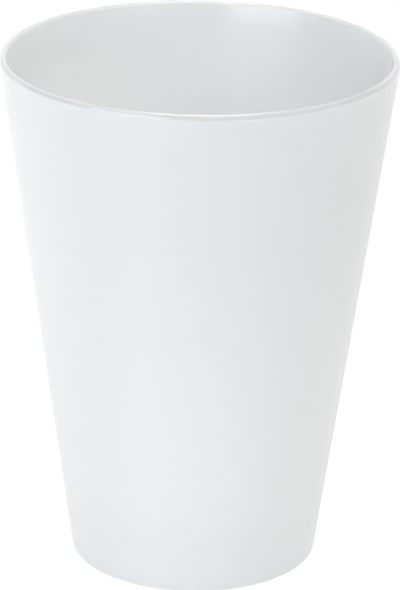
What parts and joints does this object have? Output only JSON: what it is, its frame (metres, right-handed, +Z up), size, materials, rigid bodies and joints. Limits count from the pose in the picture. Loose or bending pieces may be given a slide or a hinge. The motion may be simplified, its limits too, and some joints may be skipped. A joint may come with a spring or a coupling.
{
  "type": "plastic cup",
  "caption": "Tapered moulded drinking cup of translucent white plastic, with straight walls, a rounded rim, a standing ring under the base and short inner ribs for stacking.",
  "frame": {"origin": "centre of the circle that the cup stands on, at the height of the table", "axes": "+Z up along the axis of the cup, from the foot to the rim; the cup is round, and one stacking rib lies on +X"},
  "size_m": [0.09, 0.09, 0.12],
  "materials": {
    "moulded_plastic": "translucent white polypropylene, satin outside, polished inside and on the rim"
  },
  "bodies": {
    "root": {"cup": "moulded_plastic"}
  },
  "joints": []
}
